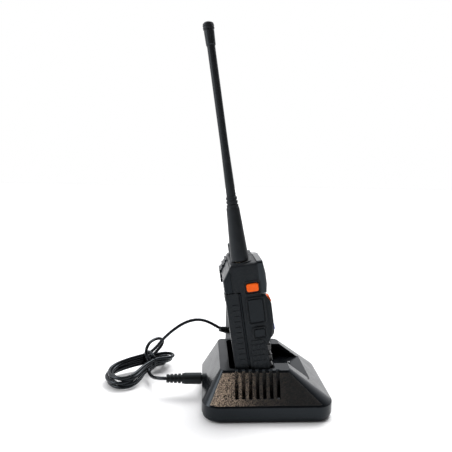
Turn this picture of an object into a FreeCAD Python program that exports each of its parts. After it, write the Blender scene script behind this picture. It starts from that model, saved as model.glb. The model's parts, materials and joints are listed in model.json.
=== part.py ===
"""A handheld two-way radio standing in its desktop charging cradle, with the plug-in supply.

Millimetres. +Z is up, +X is the radio's right as its user sees it, and its front faces -Y.
The origin is the middle of the cradle's footprint, on the surface that it stands on.

The radio leans back in the cradle. Its pieces are drawn in a frame of their own, upright on the
origin with the back of the battery at y = 0, so that a point t in front of the back is at y = -t.
"""

import FreeCAD, Part
import math
import os
import Sketcher

DRIVING = {
    # radio case
    "radio_width": 57.0,
    "radio_height": 110.5,
    "wall": 1.7,
    "battery_depth": 10.8,
    "battery_height": 88.0,
    "plate_back": 12.0,
    "plate_thick": 1.4,
    "housing_back": 12.7,
    "head_back": 6.4,
    "keypad_front": 28.0,
    "grip_front": 31.0,
    "grille_front": 35.6,
    "head_bottom": 88.6,
    "bezel_front": 33.9,
    "key_front": 31.4,
    # radio controls
    "key_wide": 8.8,
    "key_tall": 6.4,
    "key_pitch_x": 10.8,
    "key_pitch_w": 9.2,
    "key_first_w": 9.4,
    "key_gap": 0.35,
    "top_axis_t": 15.7,
    "antenna_x": -19.0,
    "knob_x": 18.5,
    "antenna_length": 181.5,
    "antenna_radius": 7.2,
    "whip_radius": 3.1,
    "cap_radius": 4.35,
    "cap_length": 17.0,
    "knob_radius": 6.9,
    "knob_height": 9.0,
    # radio in the cradle
    "lean": 8.8,
    "rest_y": 21.7,
    "rest_z": 10.9,
    # cradle
    "cradle_width": 89.0,
    "cradle_depth": 105.0,
    "cradle_corner": 14.0,
    "foot_height": 1.0,
    "plate_height": 4.5,
    "band_top": 13.0,
    "deck_height": 38.0,
    "deck_width": 65.0,
    "deck_depth": 56.0,
    "deck_middle": 10.0,
    "shell_wall": 2.2,
    "slot_pitch": 5.48,
    "slot_width": 2.8,
    "slot_bottom": 18.8,
    "slot_middle": 8.75,
    "notch_width": 40.0,
    "notch_floor": 25.5,
    "jack_height": 15.3,
    # supply
    "cord_diameter": 3.0,
    "plug_radius": 4.8,
    "adapter_x": 70.0,
    "adapter_y": 5.5,
    "adapter_turn": 20.0,
    "adapter_thick": 28.0,
    "adapter_wide": 42.0,
    "adapter_tall": 58.0,
    "blade_middle": 44.6,
    "relief_z": 35.0,
    "relief_rise": 16.0,
    "relief_length": 12.0,
}

SLOT_COUNT = 7
KEY_ROWS = 4
KEY_COLUMNS = 4
KEY_NAMES = (
    ("key_star", "key_0", "key_hash", "key_down"),
    ("key_7", "key_8", "key_9", "key_up"),
    ("key_4", "key_5", "key_6", "key_menu"),
    ("key_1", "key_2", "key_3", "key_exit"),
)


class Size:
    """A number in millimetres or degrees that keeps the spreadsheet formula it comes from."""

    def __init__(self, value, formula):
        self.value = value
        self.formula = formula

    def __add__(self, other):
        other = size(other)
        return Size(self.value + other.value, f"({self.formula} + {other.formula})")

    def __radd__(self, other):
        return size(other) + self

    def __sub__(self, other):
        other = size(other)
        return Size(self.value - other.value, f"({self.formula} - {other.formula})")

    def __rsub__(self, other):
        return size(other) - self

    def __mul__(self, other):
        other = size(other)
        return Size(self.value * other.value, f"({self.formula} * {other.formula})")

    __rmul__ = __mul__

    def __truediv__(self, other):
        other = size(other)
        return Size(self.value / other.value, f"({self.formula} / {other.formula})")

    def __neg__(self):
        return self * -1


def size(number):
    """A Size as it is, or a plain number as a Size."""
    return number if isinstance(number, Size) else Size(float(number), repr(float(number)))


def make_sheet(doc):
    """The spreadsheet of driving dimensions, and each of them as a Size."""
    sheet = doc.addObject("Spreadsheet::Sheet", "Sizes")
    for row, (alias, number) in enumerate(DRIVING.items(), 1):
        sheet.set(f"A{row}", alias)
        sheet.set(f"B{row}", str(number))
        sheet.setAlias(f"B{row}", alias)
    sheet.recompute()
    return {alias: Size(number, f"Sizes.{alias}") for alias, number in DRIVING.items()}


doc = FreeCAD.newDocument("charging_radio")
S = make_sheet(doc)
SUBPARTS = []


# ---------------------------------------------------------------- sketches and features


def bind(item, name, number):
    """Ties one property of a feature to the spreadsheet."""
    item.setExpression(name, size(number).formula)


def new_body(label, place=None):
    """An empty body that becomes one sub-part."""
    body = doc.addObject("PartDesign::Body", label)
    body.Label = label
    body.Placement = place or FreeCAD.Placement()
    SUBPARTS.append(body)
    return body


def new_sketch(body, plane, offset):
    """An empty sketch, parallel to one of the body's origin planes and offset along its normal."""
    sketch = body.newObject("Sketcher::SketchObject", f"{body.Name}_sketch")
    origin = [f for f in body.Origin.OriginFeatures if f.Role == f"{plane}_Plane"]
    sketch.AttachmentSupport = (origin[0], [""])
    sketch.MapMode = "FlatFace"
    bind(sketch, "AttachmentOffset.Base.z", offset)
    return sketch


def hold(sketch, wanted):
    """Adds constraints, (kind, places, number), and ties those that have a number to the sheet."""
    first = sketch.ConstraintCount
    numbers = [() if number is None else (size(number).value,) for _, _, number in wanted]
    sketch.addConstraint([Sketcher.Constraint(kind, *places, *number)
                          for (kind, places, _), number in zip(wanted, numbers)])
    for index, (_, _, number) in enumerate(wanted, first):
        if number is not None:
            sketch.setExpression(f"Constraints[{index}]", size(number).formula)


def vector(x, y, z=0.0):
    return FreeCAD.Vector(size(x).value, size(y).value, size(z).value)


def outline(body, plane, offset, points):
    """A closed outline of straight edges."""
    sketch = new_sketch(body, plane, offset)
    count = len(points)
    corners = [vector(*point) for point in points]
    sketch.addGeometry([Part.LineSegment(corners[i - 1], corners[i]) for i in range(count)])
    wanted = []
    for i, (x, y) in enumerate(points):
        wanted.append(("Coincident", (i, 2, (i + 1) % count, 1), None))
        wanted.append(("DistanceX", (i, 2), x))
        wanted.append(("DistanceY", (i, 2), y))
    hold(sketch, wanted)
    sketch.recompute()
    return sketch


def rounded(sketch, middle, wide, tall, corner):
    """Adds a rectangle with round corners to a sketch, and returns its constraints."""
    first = sketch.GeometryCount
    x, y = size(middle[0]), size(middle[1])
    wide, tall, corner = size(wide) / 2, size(tall) / 2, size(corner)
    signs = ((1, -1), (1, 1), (-1, 1), (-1, -1))
    arcs = []
    for i, (across, up) in enumerate(signs):
        before = vector(x + across * wide, y + up * tall)
        centre = before - FreeCAD.Vector(across * corner.value, up * corner.value)
        start = math.radians(-90 + 90 * i)
        circle = Part.Circle(centre, FreeCAD.Vector(0, 0, 1), corner.value)
        arcs.append(Part.ArcOfCircle(circle, start, start + math.pi / 2))
    sides = [Part.LineSegment(arcs[i].EndPoint, arcs[(i + 1) % 4].StartPoint) for i in range(4)]
    sketch.addGeometry(arcs + sides)
    wanted = [
        ("DistanceX", (first + 4, 1), x + wide),
        ("DistanceY", (first + 5, 1), y + tall),
        ("DistanceX", (first + 6, 1), x - wide),
        ("DistanceY", (first + 7, 1), y - tall),
    ]
    for i in range(4):
        wanted.append(("Tangent", (first + i, 2, first + 4 + i, 1), None))
        wanted.append(("Tangent", (first + 4 + i, 2, first + (i + 1) % 4, 1), None))
        wanted.append(("Radius", (first + i,), corner))
    return wanted


def rectangle(body, plane, offset, middle, wide, tall, corner):
    """A sketch of one rectangle with round corners."""
    return rectangles(body, plane, offset, [middle], wide, tall, corner)


def rectangles(body, plane, offset, middles, wide, tall, corner):
    """A sketch of equal rectangles with round corners."""
    sketch = new_sketch(body, plane, offset)
    wanted = []
    for middle in middles:
        wanted += rounded(sketch, middle, wide, tall, corner)
    hold(sketch, wanted)
    sketch.recompute()
    return sketch


def circles(body, plane, offset, middles, radius):
    """A sketch of equal circles."""
    sketch = new_sketch(body, plane, offset)
    up = FreeCAD.Vector(0, 0, 1)
    sketch.addGeometry([Part.Circle(vector(*middle), up, size(radius).value) for middle in middles])
    wanted = []
    for i, middle in enumerate(middles):
        wanted.append(("DistanceX", (i, 3), middle[0]))
        wanted.append(("DistanceY", (i, 3), middle[1]))
        wanted.append(("Radius", (i,), radius))
    hold(sketch, wanted)
    sketch.recompute()
    return sketch


def pad(body, sketch, length, way="forward"):
    """Adds a sketch's area, pulled forward along its normal, backward or both ways."""
    return pull(body, "PartDesign::Pad", sketch, length, way)


def pocket(body, sketch, length, way="backward"):
    """Takes a sketch's area away, pushed forward along its normal, backward or both ways."""
    return pull(body, "PartDesign::Pocket", sketch, length, way)


def pull(body, kind, sketch, length, way):
    volume_before = body.Tip.Shape.Volume if body.Tip else 0.0
    feature = body.newObject(kind, f"{body.Name}_{kind.split('::')[1].lower()}")
    feature.Profile = sketch
    feature.SideType = "Symmetric" if way == "both" else "One side"
    cuts = kind.endswith("Pocket")
    feature.Reversed = (way == "forward") if cuts else (way == "backward")
    bind(feature, "Length", length)
    settle(body, feature)
    if cuts and feature.Shape.Volume >= volume_before - 1e-6:
        raise RuntimeError(f"{feature.Name} takes nothing away")
    return feature


def repeat(body, feature, axis, pitch, count):
    """Repeats a feature in even steps along an axis of its sketch."""
    pattern = body.newObject("PartDesign::LinearPattern", f"{body.Name}_row")
    pattern.Originals = [feature]
    pattern.Direction = (feature.Profile[0], [axis])
    bind(pattern, "Length", size(pitch) * (count - 1))
    pattern.Occurrences = count
    settle(body, pattern)


def settle(body, feature):
    """Computes a new feature and makes it the body's tip."""
    feature.recompute()
    body.Tip = feature
    if not feature.isValid() or feature.Shape.isNull():
        raise RuntimeError(f"{feature.Name} failed")


def edges_where(shape, test):
    """The names of the edges whose two end points both pass a test."""
    names = []
    for number, edge in enumerate(shape.Edges, 1):
        ends = [vertex.Point for vertex in edge.Vertexes]
        if len(ends) == 2 and test(*ends):
            names.append(f"Edge{number}")
    return names


def ease(body, kind, test, amount):
    """Rounds ("Fillet") or bevels ("Chamfer") the body's edges that pass a test."""
    base = body.Tip
    names = edges_where(base.Shape, test)
    if not names:
        raise RuntimeError(f"{body.Name} has no such edge")
    feature = body.newObject(f"PartDesign::{kind}", f"{body.Name}_{kind.lower()}")
    feature.Base = (base, names)
    bind(feature, "Radius" if kind == "Fillet" else "Size", amount)
    settle(body, feature)


def turn(body, points):
    """A solid of revolution about the body's Z axis, from (radius, height) points."""
    sketch = outline(body, "XZ", 0, points)
    feature = body.newObject("PartDesign::Revolution", f"{body.Name}_revolution")
    feature.Profile = sketch
    feature.ReferenceAxis = (sketch, ["V_Axis"])
    feature.Angle = 360
    settle(body, feature)


def radio_place(x=0.0, t=0.0, w=0.0):
    """The placement of a frame at x across, t in front of the back and w up the leaning radio."""
    lean = FreeCAD.Rotation(FreeCAD.Vector(1, 0, 0), -S["lean"].value)
    rest = vector(0, S["rest_y"], S["rest_z"])
    return FreeCAD.Placement(rest + lean.multVec(vector(x, -size(t), w)), lean)


def slab(label, place, x, t, w, corner):
    """A plain block with round upright corners: (low, high) across, forward and up."""
    body = new_body(label, place)
    middle = ((size(x[0]) + x[1]) / 2, -(size(t[0]) + t[1]) / 2)
    plan = rectangle(body, "XY", w[0], middle, size(x[1]) - x[0], size(t[1]) - t[0], corner)
    pad(body, plan, size(w[1]) - w[0])
    return body


# ---------------------------------------------------------------- radio case

HALF = S["radio_width"] / 2
INSIDE = HALF - S["wall"]
TOP_INSIDE = S["radio_height"] - S["wall"]
NEAR_FACE = -HALF
PTT = {"t": 22.7, "w": 72.4, "long": 18.4, "wide": 11.6, "corner": 1.6, "out": 1.4, "flange": 0.8}
MONITOR = {"t": 23.3, "w": 53.8, "long": 6.4, "wide": 8.4, "corner": 1.6, "out": 1.2, "flange": 0.8}
CALL = {"t": 22.2, "w": 91.1, "long": 6.3, "wide": 9.2, "corner": 1.4, "out": 0.9, "flange": 0.4}
FLANGE_THICK = 1.0
FLANGE_ROOM = 2.6
GRILLE_W = 67.0
MODE_KEY = (-19.5, 78.4)
AB_KEY = (-19.5, 54.6)
BAND_KEY = (19.5, 54.6)
FRONT_KEY_SIZE = (7.0, 5.2)
JACKS = ((17.6, 82.0, 1.9), (17.6, 71.0, 1.4))
GRIP_PITCH = 4.5
TILE_COLUMNS = 3
TILE_ROWS = 9
TILE_T = 16.6
TILE_PITCH = 3.6
TILE_FOOT = 6.5
TILE_TOP_RIB = 46.6
WINDOW_W = 98.4
WINDOW_WIDE = 41.0
WINDOW_SLAB = 40.4
JACK_COVER_W = 76.5
LATCH_X = -10.0
LATCH_DROP = 6.6
KEY_FACE_PROUD = 0.7
KEY_CORNER = 1.4
SOCKET_FOOT = 105.0
SOCKET_NECK = 3.1
POT_FOOT = 99.0
SCREW_SPOTS = ((-21.0, 9.0), (21.0, 9.0), (-21.0, 80.0), (21.0, 80.0))
RAIL_X = 25.7
RAIL_WIDE = 3.0
RAIL_FOOT = 3.2
RAIL_LONG = 84.0
FIN_COUNT = 5
FIN_PITCH = 4.1
FIN_TALL = 2.6
FIN_DEEP = 1.9
FIN_PROUD = 1.7
FIN_STEP_BACK = 2.9
FULL_FINS = 3
TORCH = (-0.5, 19.0, 3.4)
STATUS = (7.5, 24.5, 1.3)


def key_middles():
    """The middles of the keypad's keys, (across, up), row by row from the bottom."""
    half_row = (KEY_COLUMNS - 1) / 2
    for row in range(KEY_ROWS):
        for column in range(KEY_COLUMNS):
            across = (column - half_row) * S["key_pitch_x"]
            yield across, S["key_first_w"] + row * S["key_pitch_w"]


def side_window(body, button, gap, depth, way="forward"):
    """A sketch-and-pocket opening in the near side for one side button."""
    middle = (-button["t"], button["w"])
    sketch = rectangle(body, "YZ", NEAR_FACE - 2, middle, button["wide"] + 2 * gap,
                       button["long"] + 2 * gap, button["corner"] + gap)
    pocket(body, sketch, 2 + size(depth), way)


def flange_room(body, button):
    """Room just inside the near wall for a side button's flange and its travel."""
    margin = button["flange"] + 0.3
    sketch = rectangle(body, "YZ", NEAR_FACE + S["wall"], (-button["t"], button["w"]),
                       button["wide"] + 2 * margin, button["long"] + 2 * margin, 1.0)
    pocket(body, sketch, FLANGE_ROOM, "forward")


def button_frame(body, button, margin, height):
    """A raised rim on the near side, around where a side button comes through."""
    middle = (-button["t"], button["w"])
    sketch = rectangle(body, "YZ", NEAR_FACE - height, middle, button["wide"] + 2 * margin,
                       button["long"] + 2 * margin, button["corner"] + margin)
    pad(body, sketch, height + S["wall"] / 2)


def front_housing():
    body = new_body("front_housing", radio_place())
    side = outline(body, "YZ", 0, [
        (-S["housing_back"], 0.5),
        (-S["keypad_front"], 0.5),
        (-S["keypad_front"], 42.0),
        (-S["grip_front"], 45.4),
        (-S["grip_front"], 84.0),
        (-S["keypad_front"], 85.4),
        (-S["keypad_front"], S["radio_height"]),
        (-S["head_back"] - 1.4, S["radio_height"]),
        (-S["head_back"], S["radio_height"] - 1.8),
        (-S["head_back"], S["head_bottom"]),
        (-S["housing_back"], S["head_bottom"]),
    ])
    pad(body, side, S["radio_width"], "both")
    lip = -(S["keypad_front"].value - 0.1)
    ease(body, "Fillet", lambda a, b: abs(a.x) > 28 and a.x == b.x and max(a.y, b.y) < lip
         and max(a.z, b.z) < 86, 2.0)
    top = S["radio_height"].value - 0.1
    ease(body, "Fillet", lambda a, b: abs(a.x) > 28 and a.x == b.x and min(a.z, b.z) > top, 2.2)
    bulge = outline(body, "YZ", 0, [
        (-S["grip_front"] + 1, 46.4),
        (-S["grip_front"], 46.4),
        (-S["grille_front"] + 0.6, 49.4),
        (-S["grille_front"], 52.0),
        (-S["grille_front"], 76.0),
        (-S["grip_front"] - 0.6, 83.6),
        (-S["grip_front"] + 1, 83.6),
    ])
    pad(body, bulge, S["radio_width"] - 4.6, "both")
    front = -(S["grip_front"].value + 0.3)
    ease(body, "Chamfer", lambda a, b: 25 < abs(a.x) < 27 and a.x == b.x and max(a.y, b.y) < front
         and min(a.z, b.z) < 78, 2.4)
    seat_bottom = S["radio_height"] - 0.5
    pad(body, circles(body, "XY", seat_bottom, [(S["antenna_x"], -S["top_axis_t"])], 8.6), 1.5)
    pad(body, circles(body, "XY", seat_bottom, [(S["knob_x"], -S["top_axis_t"])], 7.8), 1.3)
    button_frame(body, PTT, 1.5, 0.9)
    button_frame(body, MONITOR, 1.5, 0.7)
    hollow_front(body)
    front_openings(body)
    grip_tiles(body)
    return body


def hollow_front(body):
    """Opens the housing's inside to the back, and the bulge behind the grille."""
    inner = S["keypad_front"] - S["wall"]
    room = outline(body, "YZ", 0, [
        (-S["plate_back"] + 2, 2.2),
        (-inner, 2.2),
        (-inner, TOP_INSIDE),
        (-S["head_back"] + 2, TOP_INSIDE),
        (-S["head_back"] + 2, S["head_bottom"] + 2),
        (-S["plate_back"] + 2, S["head_bottom"] + 2),
    ])
    pocket(body, room, 2 * INSIDE, "both")
    deep = outline(body, "YZ", 0, [
        (-inner + 1, 49.6),
        (-S["grille_front"] + 2.6, 52.4),
        (-S["grille_front"] + 1.6, 54.0),
        (-S["grille_front"] + 1.6, 75.0),
        (-inner + 1, 82.0),
    ])
    pocket(body, deep, 2 * INSIDE - 6, "both")


def front_openings(body):
    """Everything that looks or comes out through the housing's front, sides and top."""
    gap = S["key_gap"]
    face = S["grille_front"] + 3
    depth = 14.0
    window = rectangle(body, "XZ", face, (0, WINDOW_W), WINDOW_WIDE, 18.6, 1.0)
    pocket(body, window, depth)
    bottom_row = list(key_middles())[:KEY_COLUMNS]
    keys = rectangles(body, "XZ", face, bottom_row, S["key_wide"] + 2 * gap,
                      S["key_tall"] + 2 * gap, 1.8)
    repeat(body, pocket(body, keys, depth), "V_Axis", S["key_pitch_w"], KEY_ROWS)
    front_keys = rectangles(body, "XZ", face, [MODE_KEY, AB_KEY, BAND_KEY],
                            FRONT_KEY_SIZE[0] + 2 * gap, FRONT_KEY_SIZE[1] + 2 * gap, 1.4)
    pocket(body, front_keys, depth)
    slots = [(0, GRILLE_W + step * 3.4) for step in (-2, -1, 0, 1, 2)]
    pocket(body, rectangles(body, "XZ", face, slots, 22.0, 1.5, 0.7), 6)
    microphone = circles(body, "XZ", face, [(-23.0, 44.4)], 0.6)
    pocket(body, microphone, 16)
    for button in (PTT, MONITOR, CALL):
        side_window(body, button, gap, S["wall"] + 1)
        flange_room(body, button)
    side_window(body, CALL, 1.4, 0.6)
    for t, w, radius in JACKS:
        hole = circles(body, "YZ", HALF + 2, [(-t, w)], radius)
        pocket(body, hole, 5, "backward")
    top = S["radio_height"] + 2
    pocket(body, circles(body, "XY", top, [(S["antenna_x"], -S["top_axis_t"])], 5.3), 5, "backward")
    pocket(body, circles(body, "XY", top, [(S["knob_x"], -S["top_axis_t"])], 3.4), 5, "backward")
    pocket(body, circles(body, "XY", top, [(TORCH[0], -TORCH[1])], TORCH[2] + 0.05), 5, "backward")
    pocket(body, circles(body, "XY", top, [(STATUS[0], -STATUS[1])], STATUS[2] + 0.05), 5, "backward")


def grip_tiles(body):
    """Small raised tiles low on both sides, where the hand closes round the case, under a rib."""
    proud, root = 0.45, 0.3
    columns = [(-(TILE_T + step * TILE_PITCH), TILE_FOOT) for step in range(TILE_COLUMNS)]
    for side, way in ((-1, "forward"), (1, "backward")):
        face = side * (HALF + proud)
        tiles = rectangles(body, "YZ", face, columns, 2.9, 3.7, 0.5)
        repeat(body, pad(body, tiles, proud + root, way), "V_Axis", GRIP_PITCH, TILE_ROWS)
        rib = rectangle(body, "YZ", face, (-TILE_T - TILE_PITCH, TILE_TOP_RIB), 10.2, 2.4, 1.1)
        pad(body, rib, proud + root, way)


def rear_chassis():
    body = new_body("rear_chassis", radio_place())
    half_plate = INSIDE - 0.5
    plate = rectangle(body, "XY", 2.6, (0, -(S["plate_back"] + S["plate_thick"] / 2)),
                      2 * half_plate, S["plate_thick"], 0.3)
    pad(body, plate, 102.0)
    battery_rails(body)
    web = rectangle(body, "XY", S["head_bottom"] + 2.4, (0, -(S["head_back"] + S["plate_back"]) / 2),
                    2 * half_plate - 4, S["plate_back"] - S["head_back"] + 2, 0.3)
    pad(body, web, 13.0)
    head = outline(body, "YZ", 0, [
        (0, S["head_bottom"] + 0.2),
        (0, 99.0),
        (-S["head_back"] + 0.25, S["radio_height"] - 2.2),
        (-S["head_back"] + 0.25, S["head_bottom"] + 0.2),
    ])
    pad(body, head, S["radio_width"], "both")
    ease(body, "Fillet", lambda a, b: abs(a.x) > 28 and a.x == b.x and max(a.y, b.y) > -0.1
         and a.z != b.z, 1.6)
    fins = outline(body, "YZ", 8.0, fin_outline())
    pad(body, fins, 18.0)
    holes = circles(body, "XZ", S["plate_back"] + 3, list(SCREW_SPOTS), 1.25)
    pocket(body, holes, 6)
    return body


def battery_rails(body):
    """The rail down each side of the plate that the battery's edge bears on, inside the groove."""
    back, front = S["battery_depth"] + 0.05, S["plate_back"] + 0.2
    middles = [(side * RAIL_X, -(back + front) / 2) for side in (-1, 1)]
    rails = rectangles(body, "XY", RAIL_FOOT, middles, RAIL_WIDE, front - back, 0.3)
    pad(body, rails, RAIL_LONG)


def fin_outline():
    """Cooling fins down the back of the head, one closed comb of level teeth."""
    bottom = S["head_bottom"].value + 0.8
    points = [(-2.0, bottom)]
    for number in range(FIN_COUNT):
        foot = bottom + number * FIN_PITCH
        proud = FIN_PROUD - FIN_STEP_BACK * max(0, number + 1 - FULL_FINS)
        root = proud - FIN_DEEP
        points += [(proud, foot), (proud, foot + FIN_TALL), (root, foot + FIN_TALL + 0.3),
                   (root, foot + FIN_PITCH)]
    return points[:-2] + [(-6.0, points[-3][1])]


def lcd_bezel():
    body = new_body("lcd_bezel", radio_place())
    back = -(S["keypad_front"] + 0.05)
    front = S["bezel_front"]
    profile = outline(body, "YZ", 0, [
        (back, 85.8),
        (-front + 1.2, 85.8),
        (-front, 92.0),
        (-front, 101.0),
        (-front + 1.4, 111.4),
        (back, 111.4),
    ])
    pad(body, profile, S["radio_width"] + 0.6, "both")
    ease(body, "Chamfer", lambda a, b: abs(a.x) > 28 and a.x == b.x
         and max(a.y, b.y) < back.value - 2 and min(a.z, b.z) < 110, 1.5)
    ease(body, "Fillet", lambda a, b: abs(a.x) > 28 and a.x == b.x and min(a.z, b.z) > 111, 2.0)
    window = rectangle(body, "XZ", front + 2, (0, WINDOW_W), WINDOW_WIDE, 16.4, 0.5)
    pocket(body, window, 12)
    shoulder = outline(body, "XZ", front + 2, [
        (3.0, 112.4),
        (3.0, 111.2),
        (HALF + 2, 107.6),
        (HALF + 2, 112.4),
    ])
    pocket(body, shoulder, 12)
    return body


def lcd_and_boards():
    """What is behind the window: the display, the main board, the key mat and the speaker."""
    place = radio_place()
    half = WINDOW_SLAB / 2
    slab("lcd_window", place, (-half, half), (31.7, 32.5), (WINDOW_W - 7.9, WINDOW_W + 7.9), 0.3)
    slab("lcd_module", place, (0.2 - half, half - 0.2), (26.7, 31.5),
         (WINDOW_W - 7.8, WINDOW_W + 7.8), 0.3)
    slab("main_board", place, (-24.2, 16.4), (15.6, 17.2), (4.0, 98.4), 0.6)
    slab("key_mat", place, (-23.0, 23.0), (24.4, 25.8), (3.6, 43.4), 0.6)
    slab("side_key_seal", place, (-24.3, -23.3), (17.6, 26.0), (50.0, 95.4), 0.4)
    speaker = new_body("speaker_driver", radio_place(0, 24.8, GRILLE_W - 1))
    rim = circles(speaker, "XZ", 4.2, [(0, 0)], 11.1)
    pad(speaker, rim, 2.0)
    magnet = circles(speaker, "XZ", 0, [(0, 0)], 7.5)
    pad(speaker, magnet, 4.4)


def control_seats():
    """The fixed parts under the top controls: the antenna socket, the volume control, the lenses."""
    connector = new_body("antenna_connector", radio_place(S["antenna_x"], S["top_axis_t"], SOCKET_FOOT))
    turn(connector, [(0, 0), (4.6, 0), (4.6, 3.5), (5.1, 3.5), (5.1, 6.6), (4.2, 6.6),
                     (4.2, 7.6), (SOCKET_NECK, 7.6), (SOCKET_NECK, 12.0), (0, 12.0)])
    pot = new_body("volume_pot", radio_place(S["knob_x"], S["top_axis_t"] + 2.6, POT_FOOT))
    case = rectangle(pot, "XY", 0, (0, 0.6), 11.0, 6.2, 0.6)
    pad(pot, case, 8.6)
    bush = circles(pot, "XY", 8.0, [(0, 2.6)], 3.0)
    pad(pot, bush, 6.0)
    shaft = circles(pot, "XY", 13.0, [(0, 2.6)], 2.0)
    pad(pot, shaft, 5.5)
    lenses = new_body("top_lenses", radio_place(0, 0, S["radio_height"] - 2.4))
    pad(lenses, circles(lenses, "XY", 0, [(TORCH[0], -TORCH[1])], TORCH[2]), 3.0)
    pad(lenses, circles(lenses, "XY", 0, [(STATUS[0], -STATUS[1])], STATUS[2]), 3.0)
    sockets = new_body("accessory_jacks", radio_place())
    for t, w, radius in JACKS:
        pad(sockets, circles(sockets, "YZ", 17.0, [(-t, w)], radius + 1.4), 9.6)
        pocket(sockets, circles(sockets, "YZ", 27.0, [(-t, w)], radius), 9)
    screws = new_body("chassis_screws", radio_place())
    heads = circles(screws, "XZ", S["plate_back"] - 0.95, list(SCREW_SPOTS), 2.1)
    pad(screws, heads, 0.9)
    shanks = circles(screws, "XZ", S["plate_back"] - 0.1, list(SCREW_SPOTS), 1.1)
    pad(screws, shanks, 2.2)


def side_button(label, button):
    """A side button with the flange inside the case that keeps it in."""
    body = new_body(label, radio_place(NEAR_FACE, button["t"], button["w"]))
    out = button["out"]
    cap = rectangle(body, "YZ", -out, (0, 0), button["wide"], button["long"], button["corner"])
    pad(body, cap, out + S["wall"] + 0.2)
    ease(body, "Fillet", lambda a, b: abs(a.x + out) < 1e-6 and abs(b.x + out) < 1e-6, 0.45)
    margin = 2 * button["flange"]
    flange = rectangle(body, "YZ", S["wall"] + 0.1, (0, 0), button["wide"] + margin,
                       button["long"] + margin, 0.8)
    pad(body, flange, FLANGE_THICK)
    return body


def front_key(label, x, w, wide, tall, front, back):
    """A key that comes through the front, from its back on the key mat to its face."""
    body = new_body(label, radio_place(x, 0, w))
    cap = rectangle(body, "XZ", back, (0, 0), wide, tall, KEY_CORNER)
    pad(body, cap, size(front) - back)
    ease(body, "Fillet", lambda a, b: a.y < -size(front).value + 1e-6
         and b.y < -size(front).value + 1e-6, 0.5)
    return body


def buttons():
    side_button("ptt_button", PTT)
    side_button("moni_button", MONITOR)
    side_button("call_button", CALL)
    labels = [label for row in KEY_NAMES for label in row]
    for label, (across, up) in zip(labels, key_middles()):
        front_key(label, across, up, S["key_wide"], S["key_tall"], S["key_front"], 26.5)
    for label, (x, w) in (("ab_key", AB_KEY), ("band_key", BAND_KEY)):
        front_key(label, x, w, *FRONT_KEY_SIZE, S["grille_front"] + KEY_FACE_PROUD, 31.6)
    mode_key()


def mode_key():
    """The key above the grille: its face follows the slope that runs up to the window's frame."""
    x, w = MODE_KEY
    wide, tall = FRONT_KEY_SIZE
    body = new_body("mode_key", radio_place(x, 0, w))
    front = S["grille_front"] + KEY_FACE_PROUD
    side = outline(body, "YZ", 0, [
        (-31.0, -tall / 2),
        (-front, -tall / 2),
        (-front, 76.4 - w),
        (-front + 1.5, tall / 2),
        (-31.0, tall / 2),
    ])
    pad(body, side, wide, "both")
    half = tall / 2 - 0.1
    ease(body, "Fillet", lambda a, b: a.x == b.x and min(abs(a.z), abs(b.z)) > half
         and a.z * b.z > 0, KEY_CORNER)


def volume_knob():
    body = new_body("volume_knob", radio_place(S["knob_x"], S["top_axis_t"], S["radio_height"] + 1.1))
    radius, height = S["knob_radius"], S["knob_height"]
    turn(body, [(0, 6.2), (2.06, 6.2), (2.06, 1.8), (3.4, 1.8), (3.4, 0), (radius, 0),
                (radius, height - 0.9), (radius - 0.9, height), (0, height)])
    notch = circles(body, "XY", height + 1, [(radius + 0.35, 0)], 0.8)
    groove = pocket(body, notch, height)
    pattern = body.newObject("PartDesign::PolarPattern", "volume_knob_grip")
    pattern.Originals = [groove]
    pattern.Axis = (notch, ["N_Axis"])
    pattern.Angle = 360
    pattern.Occurrences = 20
    settle(body, pattern)
    return body


def antenna():
    """The whip: a thick sleeve over the connector, three rings, a thin whip and its cap."""
    foot = S["radio_height"] + 2.0
    whip = new_body("antenna_whip", radio_place(S["antenna_x"], S["top_axis_t"], foot))
    low, thin = S["antenna_radius"], S["whip_radius"]
    rings_bottom = 42.5
    bore = SOCKET_NECK + 0.08
    points = [(0, 5.2), (bore, 5.2), (bore, 0.6), (4.6, 0.6), (4.6, -0.5), (low - 0.6, -0.5),
              (low, 0.2), (low, 4.0), (5.15, rings_bottom - 0.8)]
    for step in range(3):
        foot_of_ring = rings_bottom + step * 3.0
        points += [(4.75 - 0.15 * step, foot_of_ring), (4.75 - 0.15 * step, foot_of_ring + 1.9),
                   (4.0 - 0.1 * step, foot_of_ring + 2.2), (4.0 - 0.1 * step, foot_of_ring + 2.8)]
    cap_foot = S["antenna_length"] - S["cap_length"]
    points += [(3.75, rings_bottom + 9.2), (thin, 92.0), (thin, cap_foot), (0, cap_foot)]
    turn(whip, points)
    cap_place = radio_place(S["antenna_x"], S["top_axis_t"], foot + cap_foot + 0.01)
    cap = new_body("antenna_cap", cap_place)
    wide, tall = S["cap_radius"], S["cap_length"]
    turn(cap, [(0, 0), (thin + 0.2, 0), (thin + 0.6, 0.8), (wide - 0.7, 1.2), (wide - 0.4, tall - 6.4),
               (wide - 0.8, tall - 6.0), (wide - 0.8, tall - 5.4), (wide - 0.1, tall - 5.2),
               (wide, tall - 4.0), (wide - 0.5, tall - 3.7), (wide - 0.5, tall - 3.2),
               (wide, tall - 2.9), (wide - 0.3, tall - 1.2), (wide - 1.3, tall - 0.3), (0, tall)])


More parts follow.
